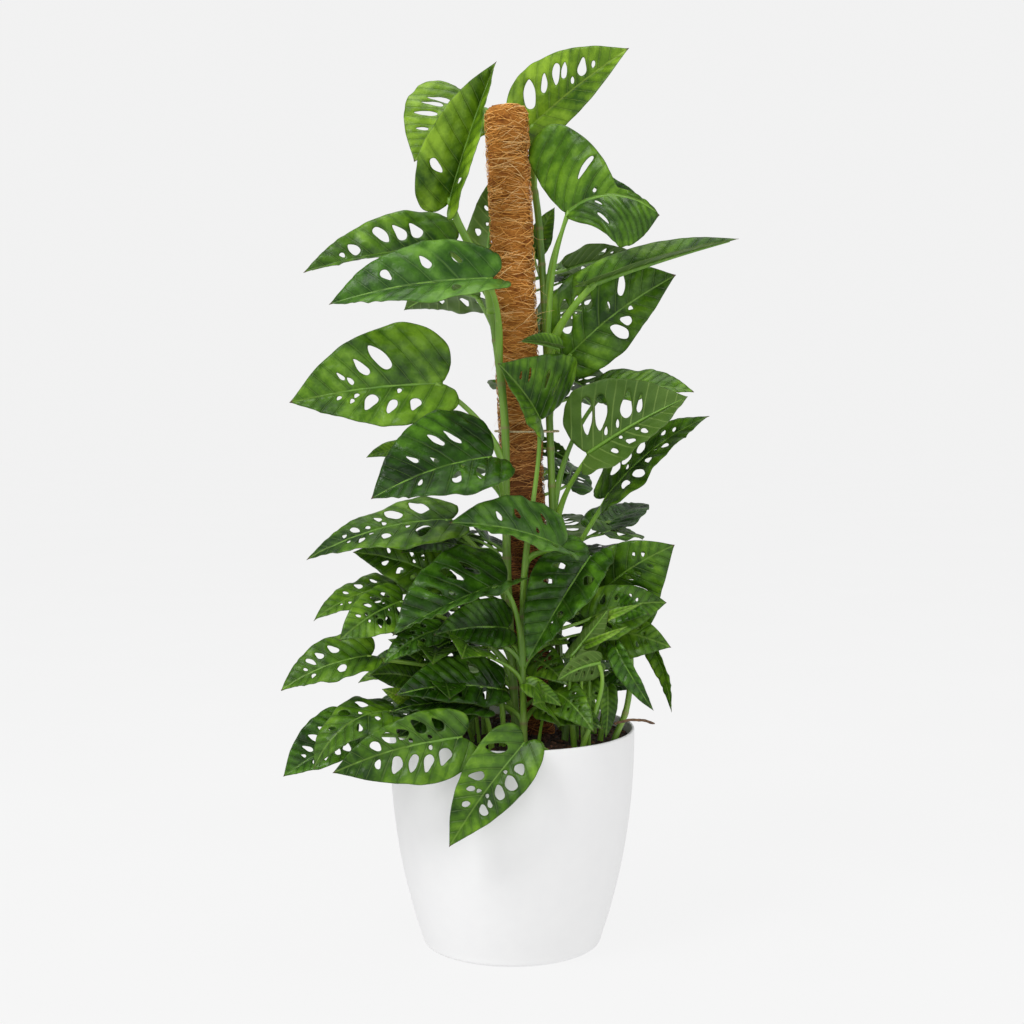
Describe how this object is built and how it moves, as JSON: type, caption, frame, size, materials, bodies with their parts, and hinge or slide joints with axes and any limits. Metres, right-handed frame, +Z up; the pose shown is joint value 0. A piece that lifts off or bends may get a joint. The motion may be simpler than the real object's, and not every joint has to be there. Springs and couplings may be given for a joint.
{
  "type": "potted monstera plant",
  "caption": "Climbing Swiss-cheese monstera with holed heart-shaped leaves, tied to an upright coir pole in a round white planter.",
  "frame": {"origin": "centre of the planter's flat base, on the floor", "axes": "+Z up along the plant's height, -Y towards the front, +X to the right seen from the front"},
  "size_m": [0.4423, 0.3691, 0.9062],
  "materials": {
    "planter": "satin",
    "soil": "matte",
    "coir": "matte",
    "wood": "matte",
    "twine": "matte",
    "root": "matte",
    "stem": "satin",
    "leaf": "satin"
  },
  "bodies": {
    "root": {"planter": "planter", "potting_soil": "soil", "coir_sleeve": "coir", "pole_core": "wood", "tie_ring": "twine", "aerial_root": "root", "vine_left": "stem", "vine_right": "stem", "vine_front": "stem", "vine_rim": "stem", "vine_back": "stem", "leaf_crown_right": "leaf", "leaf_crown_left": "leaf", "leaf_crown_round": "leaf", "leaf_upper_heart": "leaf", "leaf_left_high": "leaf", "leaf_left_front": "leaf", "leaf_left_mid": "leaf", "leaf_left_quilted": "leaf", "leaf_centre_pointed": "leaf", "leaf_centre_broad": "leaf", "leaf_left_third": "leaf", "leaf_left_fourth": "leaf", "leaf_left_fifth": "leaf", "leaf_left_sixth": "leaf", "leaf_left_seventh": "leaf", "leaf_left_arched": "leaf", "leaf_left_low": "leaf", "leaf_rim_left": "leaf", "leaf_rim_front": "leaf", "leaf_right_dark": "leaf", "leaf_right_open": "leaf", "leaf_right_pale": "leaf", "leaf_right_hanging": "leaf", "leaf_right_yellow": "leaf", "leaf_front_small": "leaf", "leaf_front_pale": "leaf", "leaf_rim_right": "leaf", "leaf_rim_corner": "leaf", "leaf_right_mid": "leaf", "leaf_right_mid_behind": "leaf", "leaf_right_slender": "leaf", "leaf_centre_high": "leaf", "leaf_centre_rolled": "leaf", "leaf_right_high": "leaf", "leaf_right_edge": "leaf", "leaf_back_high": "leaf", "leaf_low_cup": "leaf", "leaf_low_long": "leaf", "leaf_low_flat": "leaf", "leaf_low_dark": "leaf", "leaf_back_upper": "leaf", "leaf_back_left": "leaf", "leaf_back_mid": "leaf", "leaf_back_lower": "leaf", "leaf_back_right": "leaf", "leaf_back_low_left": "leaf", "leaf_back_low_right": "leaf", "leaf_back_rim": "leaf"}
  },
  "joints": []
}
